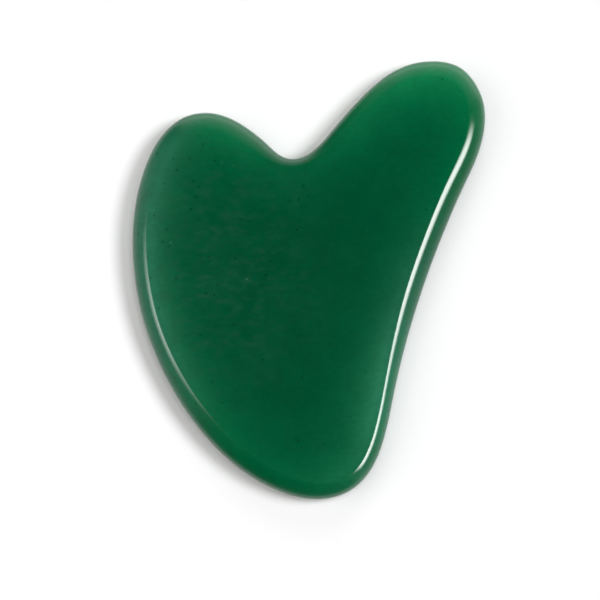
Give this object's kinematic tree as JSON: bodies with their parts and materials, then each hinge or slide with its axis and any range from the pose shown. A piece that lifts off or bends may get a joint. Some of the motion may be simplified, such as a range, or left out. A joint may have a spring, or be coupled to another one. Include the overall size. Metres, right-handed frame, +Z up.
{
  "type": "gua sha scraper",
  "caption": "Flat heart-shaped scraper of polished green stone with a fully rounded rim, drawn over the face and neck in massage.",
  "frame": {"origin": "middle of the bounding box on the lower flat face, which the plate rests on", "axes": "+Z up, square to the two flat faces; +Y along the length, towards the tip of the long horn; +X across the width, towards the long, slightly hollow flank"},
  "size_m": [0.054, 0.08, 0.006],
  "materials": {
    "polished_stone": "polished"
  },
  "bodies": {
    "root": {"stone_plate": "polished_stone"}
  },
  "joints": []
}
